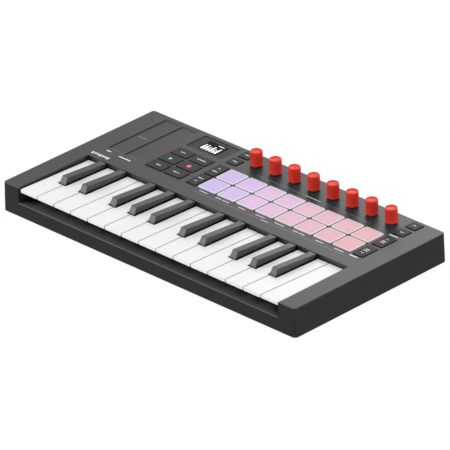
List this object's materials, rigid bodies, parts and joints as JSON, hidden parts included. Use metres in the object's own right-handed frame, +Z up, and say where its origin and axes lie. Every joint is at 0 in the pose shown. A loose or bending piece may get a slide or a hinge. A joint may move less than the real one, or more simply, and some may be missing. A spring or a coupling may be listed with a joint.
{
  "type": "midi keyboard",
  "caption": "Compact USB MIDI keyboard controller: mini piano keys along the front, drum pads, encoder knobs, small display, touch strips and buttons on a flat panel.",
  "frame": {"origin": "middle of the footprint, on the plane that the rubber feet stand on", "axes": "+X along the keys towards the highest note, +Y to the back, +Z up"},
  "size_m": [0.3312, 0.1732, 0.041],
  "materials": {
    "case_plastic": "fine matte texture, dark grey",
    "frame_plastic": "black moulded plastic",
    "contact_rubber": "grey silicone",
    "board": "green circuit board",
    "encoder_metal": "plated steel",
    "pad_silicone": "soft translucent silicone lit from below, lavender to pink",
    "window": "smoked gloss window",
    "strip_plastic": "smooth satin touch surface",
    "socket_plastic": "black sockets with metal contacts",
    "foot_rubber": "black rubber",
    "screw_steel": "black-zinc steel",
    "white_key_plastic": "satin-gloss white",
    "black_key_plastic": "matte dark grey",
    "knob_plastic": "soft-touch red with fine ribs",
    "button_rubber": "dark grey silicone caps"
  },
  "bodies": {
    "case": {"top_case": "case_plastic", "bottom_case": "case_plastic", "key_frame": "frame_plastic", "key_contact_strip": "contact_rubber", "circuit_boards": "board", "encoders": "encoder_metal", "pad_mat": "pad_silicone", "display_module": "board", "display_window": "window", "touch_strips": "strip_plastic", "rear_sockets": "socket_plastic", "rubber_feet": "foot_rubber", "case_screws": "screw_steel"},
    "knob_1": {"knob_1": "knob_plastic"},
    "knob_2": {"knob_2": "knob_plastic"},
    "knob_3": {"knob_3": "knob_plastic"},
    "knob_4": {"knob_4": "knob_plastic"},
    "knob_5": {"knob_5": "knob_plastic"},
    "knob_6": {"knob_6": "knob_plastic"},
    "knob_7": {"knob_7": "knob_plastic"},
    "knob_8": {"knob_8": "knob_plastic"},
    "white_key_01": {"white_key_01": "white_key_plastic"},
    "white_key_02": {"white_key_02": "white_key_plastic"},
    "white_key_03": {"white_key_03": "white_key_plastic"},
    "white_key_04": {"white_key_04": "white_key_plastic"},
    "white_key_05": {"white_key_05": "white_key_plastic"},
    "white_key_06": {"white_key_06": "white_key_plastic"},
    "white_key_07": {"white_key_07": "white_key_plastic"},
    "white_key_08": {"white_key_08": "white_key_plastic"},
    "white_key_09": {"white_key_09": "white_key_plastic"},
    "white_key_10": {"white_key_10": "white_key_plastic"},
    "white_key_11": {"white_key_11": "white_key_plastic"},
    "white_key_12": {"white_key_12": "white_key_plastic"},
    "white_key_13": {"white_key_13": "white_key_plastic"},
    "white_key_14": {"white_key_14": "white_key_plastic"},
    "white_key_15": {"white_key_15": "white_key_plastic"},
    "black_key_01": {"black_key_01": "black_key_plastic"},
    "black_key_02": {"black_key_02": "black_key_plastic"},
    "black_key_03": {"black_key_03": "black_key_plastic"},
    "black_key_04": {"black_key_04": "black_key_plastic"},
    "black_key_05": {"black_key_05": "black_key_plastic"},
    "black_key_06": {"black_key_06": "black_key_plastic"},
    "black_key_07": {"black_key_07": "black_key_plastic"},
    "black_key_08": {"black_key_08": "black_key_plastic"},
    "black_key_09": {"black_key_09": "black_key_plastic"},
    "black_key_10": {"black_key_10": "black_key_plastic"},
    "settings_button": {"settings_button": "button_rubber"},
    "play_button": {"play_button": "button_rubber"},
    "scale_button": {"scale_button": "button_rubber"},
    "tempo_button": {"tempo_button": "button_rubber"},
    "record_button": {"record_button": "button_rubber"},
    "chord_button": {"chord_button": "button_rubber"},
    "pad_bank_up_button": {"pad_bank_up_button": "button_rubber"},
    "pad_bank_down_button": {"pad_bank_down_button": "button_rubber"},
    "knob_bank_down_button": {"knob_bank_down_button": "button_rubber"},
    "knob_bank_up_button": {"knob_bank_up_button": "button_rubber"},
    "track_right_button": {"track_right_button": "button_rubber"},
    "track_left_button": {"track_left_button": "button_rubber"},
    "scene_right_button": {"scene_right_button": "button_rubber"},
    "scene_left_button": {"scene_left_button": "button_rubber"}
  },
  "joints": [
    {"name": "white_key_01_hinge", "type": "hinge", "parent": "case", "child": "white_key_01", "pos_m": [0, 0.008, 0.0175], "axis": [1, 0, 0], "range_deg": [0, 2], "stiffness_Nm_per_rad": 0.4, "springref_deg": -5.73},
    {"name": "white_key_08_hinge", "type": "hinge", "parent": "case", "child": "white_key_08", "pos_m": [0, 0.008, 0.0175], "axis": [1, 0, 0], "range_deg": [0, 2], "stiffness_Nm_per_rad": 0.4, "springref_deg": -5.73},
    {"name": "black_key_01_hinge", "type": "hinge", "parent": "case", "child": "black_key_01", "pos_m": [0, 0.008, 0.0175], "axis": [1, 0, 0], "range_deg": [0, 2.6], "stiffness_Nm_per_rad": 0.4, "springref_deg": -5.73},
    {"name": "black_key_07_hinge", "type": "hinge", "parent": "case", "child": "black_key_07", "pos_m": [0, 0.008, 0.0175], "axis": [1, 0, 0], "range_deg": [0, 2.6], "stiffness_Nm_per_rad": 0.4, "springref_deg": -5.73},
    {"name": "knob_1_spin", "type": "hinge", "parent": "case", "child": "knob_1", "pos_m": [-0.02967, 0.07, 0.034], "axis": [0, 0, 1], "continuous": true},
    {"name": "knob_8_spin", "type": "hinge", "parent": "case", "child": "knob_8", "pos_m": [0.12125, 0.07, 0.034], "axis": [0, 0, 1], "continuous": true},
    {"name": "settings_button_press", "type": "slide", "parent": "case", "child": "settings_button", "axis": [0, 0, -1], "range_m": [0, 0.0006], "stiffness_N_per_m": 1000, "springref_m": -0.0005},
    {"name": "play_button_press", "type": "slide", "parent": "case", "child": "play_button", "axis": [0, 0, -1], "range_m": [0, 0.0006], "stiffness_N_per_m": 1000, "springref_m": -0.0005},
    {"name": "scale_button_press", "type": "slide", "parent": "case", "child": "scale_button", "axis": [0, 0, -1], "range_m": [0, 0.0006], "stiffness_N_per_m": 1000, "springref_m": -0.0005},
    {"name": "tempo_button_press", "type": "slide", "parent": "case", "child": "tempo_button", "axis": [0, 0, -1], "range_m": [0, 0.0006], "stiffness_N_per_m": 1000, "springref_m": -0.0005},
    {"name": "record_button_press", "type": "slide", "parent": "case", "child": "record_button", "axis": [0, 0, -1], "range_m": [0, 0.0006], "stiffness_N_per_m": 1000, "springref_m": -0.0005},
    {"name": "chord_button_press", "type": "slide", "parent": "case", "child": "chord_button", "axis": [0, 0, -1], "range_m": [0, 0.0006], "stiffness_N_per_m": 1000, "springref_m": -0.0005},
    {"name": "pad_bank_up_button_press", "type": "slide", "parent": "case", "child": "pad_bank_up_button", "axis": [0, 0, -1], "range_m": [0, 0.0006], "stiffness_N_per_m": 1000, "springref_m": -0.0005},
    {"name": "pad_bank_down_button_press", "type": "slide", "parent": "case", "child": "pad_bank_down_button", "axis": [0, 0, -1], "range_m": [0, 0.0006], "stiffness_N_per_m": 1000, "springref_m": -0.0005},
    {"name": "knob_bank_down_button_press", "type": "slide", "parent": "case", "child": "knob_bank_down_button", "axis": [0, 0, -1], "range_m": [0, 0.0006], "stiffness_N_per_m": 1000, "springref_m": -0.0005},
    {"name": "knob_bank_up_button_press", "type": "slide", "parent": "case", "child": "knob_bank_up_button", "axis": [0, 0, -1], "range_m": [0, 0.0006], "stiffness_N_per_m": 1000, "springref_m": -0.0005},
    {"name": "track_right_button_press", "type": "slide", "parent": "case", "child": "track_right_button", "axis": [0, 0, -1], "range_m": [0, 0.0006], "stiffness_N_per_m": 1000, "springref_m": -0.0005},
    {"name": "track_left_button_press", "type": "slide", "parent": "case", "child": "track_left_button", "axis": [0, 0, -1], "range_m": [0, 0.0006], "stiffness_N_per_m": 1000, "springref_m": -0.0005},
    {"name": "scene_right_button_press", "type": "slide", "parent": "case", "child": "scene_right_button", "axis": [0, 0, -1], "range_m": [0, 0.0006], "stiffness_N_per_m": 1000, "springref_m": -0.0005},
    {"name": "scene_left_button_press", "type": "slide", "parent": "case", "child": "scene_left_button", "axis": [0, 0, -1], "range_m": [0, 0.0006], "stiffness_N_per_m": 1000, "springref_m": -0.0005},
    {"name": "knob_2_spin", "type": "hinge", "parent": "case", "child": "knob_2", "pos_m": [-0.00811, 0.07, 0.034], "axis": [0, 0, 1], "continuous": true},
    {"name": "knob_3_spin", "type": "hinge", "parent": "case", "child": "knob_3", "pos_m": [0.01345, 0.07, 0.034], "axis": [0, 0, 1], "continuous": true},
    {"name": "knob_4_spin", "type": "hinge", "parent": "case", "child": "knob_4", "pos_m": [0.03501, 0.07, 0.034], "axis": [0, 0, 1], "continuous": true},
    {"name": "knob_5_spin", "type": "hinge", "parent": "case", "child": "knob_5", "pos_m": [0.05657, 0.07, 0.034], "axis": [0, 0, 1], "continuous": true},
    {"name": "knob_6_spin", "type": "hinge", "parent": "case", "child": "knob_6", "pos_m": [0.07813, 0.07, 0.034], "axis": [0, 0, 1], "continuous": true},
    {"name": "knob_7_spin", "type": "hinge", "parent": "case", "child": "knob_7", "pos_m": [0.09969, 0.07, 0.034], "axis": [0, 0, 1], "continuous": true},
    {"name": "white_key_02_hinge", "type": "hinge", "parent": "case", "child": "white_key_02", "pos_m": [0, 0.008, 0.0175], "axis": [1, 0, 0], "range_deg": [0, 2], "stiffness_Nm_per_rad": 0.4, "springref_deg": -5.73},
    {"name": "white_key_03_hinge", "type": "hinge", "parent": "case", "child": "white_key_03", "pos_m": [0, 0.008, 0.0175], "axis": [1, 0, 0], "range_deg": [0, 2], "stiffness_Nm_per_rad": 0.4, "springref_deg": -5.73},
    {"name": "white_key_04_hinge", "type": "hinge", "parent": "case", "child": "white_key_04", "pos_m": [0, 0.008, 0.0175], "axis": [1, 0, 0], "range_deg": [0, 2], "stiffness_Nm_per_rad": 0.4, "springref_deg": -5.73},
    {"name": "white_key_05_hinge", "type": "hinge", "parent": "case", "child": "white_key_05", "pos_m": [0, 0.008, 0.0175], "axis": [1, 0, 0], "range_deg": [0, 2], "stiffness_Nm_per_rad": 0.4, "springref_deg": -5.73},
    {"name": "white_key_06_hinge", "type": "hinge", "parent": "case", "child": "white_key_06", "pos_m": [0, 0.008, 0.0175], "axis": [1, 0, 0], "range_deg": [0, 2], "stiffness_Nm_per_rad": 0.4, "springref_deg": -5.73},
    {"name": "white_key_07_hinge", "type": "hinge", "parent": "case", "child": "white_key_07", "pos_m": [0, 0.008, 0.0175], "axis": [1, 0, 0], "range_deg": [0, 2], "stiffness_Nm_per_rad": 0.4, "springref_deg": -5.73},
    {"name": "white_key_09_hinge", "type": "hinge", "parent": "case", "child": "white_key_09", "pos_m": [0, 0.008, 0.0175], "axis": [1, 0, 0], "range_deg": [0, 2], "stiffness_Nm_per_rad": 0.4, "springref_deg": -5.73},
    {"name": "white_key_10_hinge", "type": "hinge", "parent": "case", "child": "white_key_10", "pos_m": [0, 0.008, 0.0175], "axis": [1, 0, 0], "range_deg": [0, 2], "stiffness_Nm_per_rad": 0.4, "springref_deg": -5.73},
    {"name": "white_key_11_hinge", "type": "hinge", "parent": "case", "child": "white_key_11", "pos_m": [0, 0.008, 0.0175], "axis": [1, 0, 0], "range_deg": [0, 2], "stiffness_Nm_per_rad": 0.4, "springref_deg": -5.73},
    {"name": "white_key_12_hinge", "type": "hinge", "parent": "case", "child": "white_key_12", "pos_m": [0, 0.008, 0.0175], "axis": [1, 0, 0], "range_deg": [0, 2], "stiffness_Nm_per_rad": 0.4, "springref_deg": -5.73},
    {"name": "white_key_13_hinge", "type": "hinge", "parent": "case", "child": "white_key_13", "pos_m": [0, 0.008, 0.0175], "axis": [1, 0, 0], "range_deg": [0, 2], "stiffness_Nm_per_rad": 0.4, "springref_deg": -5.73},
    {"name": "white_key_14_hinge", "type": "hinge", "parent": "case", "child": "white_key_14", "pos_m": [0, 0.008, 0.0175], "axis": [1, 0, 0], "range_deg": [0, 2], "stiffness_Nm_per_rad": 0.4, "springref_deg": -5.73},
    {"name": "white_key_15_hinge", "type": "hinge", "parent": "case", "child": "white_key_15", "pos_m": [0, 0.008, 0.0175], "axis": [1, 0, 0], "range_deg": [0, 2], "stiffness_Nm_per_rad": 0.4, "springref_deg": -5.73},
    {"name": "black_key_02_hinge", "type": "hinge", "parent": "case", "child": "black_key_02", "pos_m": [0, 0.008, 0.0175], "axis": [1, 0, 0], "range_deg": [0, 2.6], "stiffness_Nm_per_rad": 0.4, "springref_deg": -5.73},
    {"name": "black_key_03_hinge", "type": "hinge", "parent": "case", "child": "black_key_03", "pos_m": [0, 0.008, 0.0175], "axis": [1, 0, 0], "range_deg": [0, 2.6], "stiffness_Nm_per_rad": 0.4, "springref_deg": -5.73},
    {"name": "black_key_04_hinge", "type": "hinge", "parent": "case", "child": "black_key_04", "pos_m": [0, 0.008, 0.0175], "axis": [1, 0, 0], "range_deg": [0, 2.6], "stiffness_Nm_per_rad": 0.4, "springref_deg": -5.73},
    {"name": "black_key_05_hinge", "type": "hinge", "parent": "case", "child": "black_key_05", "pos_m": [0, 0.008, 0.0175], "axis": [1, 0, 0], "range_deg": [0, 2.6], "stiffness_Nm_per_rad": 0.4, "springref_deg": -5.73},
    {"name": "black_key_06_hinge", "type": "hinge", "parent": "case", "child": "black_key_06", "pos_m": [0, 0.008, 0.0175], "axis": [1, 0, 0], "range_deg": [0, 2.6], "stiffness_Nm_per_rad": 0.4, "springref_deg": -5.73},
    {"name": "black_key_08_hinge", "type": "hinge", "parent": "case", "child": "black_key_08", "pos_m": [0, 0.008, 0.0175], "axis": [1, 0, 0], "range_deg": [0, 2.6], "stiffness_Nm_per_rad": 0.4, "springref_deg": -5.73},
    {"name": "black_key_09_hinge", "type": "hinge", "parent": "case", "child": "black_key_09", "pos_m": [0, 0.008, 0.0175], "axis": [1, 0, 0], "range_deg": [0, 2.6], "stiffness_Nm_per_rad": 0.4, "springref_deg": -5.73},
    {"name": "black_key_10_hinge", "type": "hinge", "parent": "case", "child": "black_key_10", "pos_m": [0, 0.008, 0.0175], "axis": [1, 0, 0], "range_deg": [0, 2.6], "stiffness_Nm_per_rad": 0.4, "springref_deg": -5.73}
  ]
}
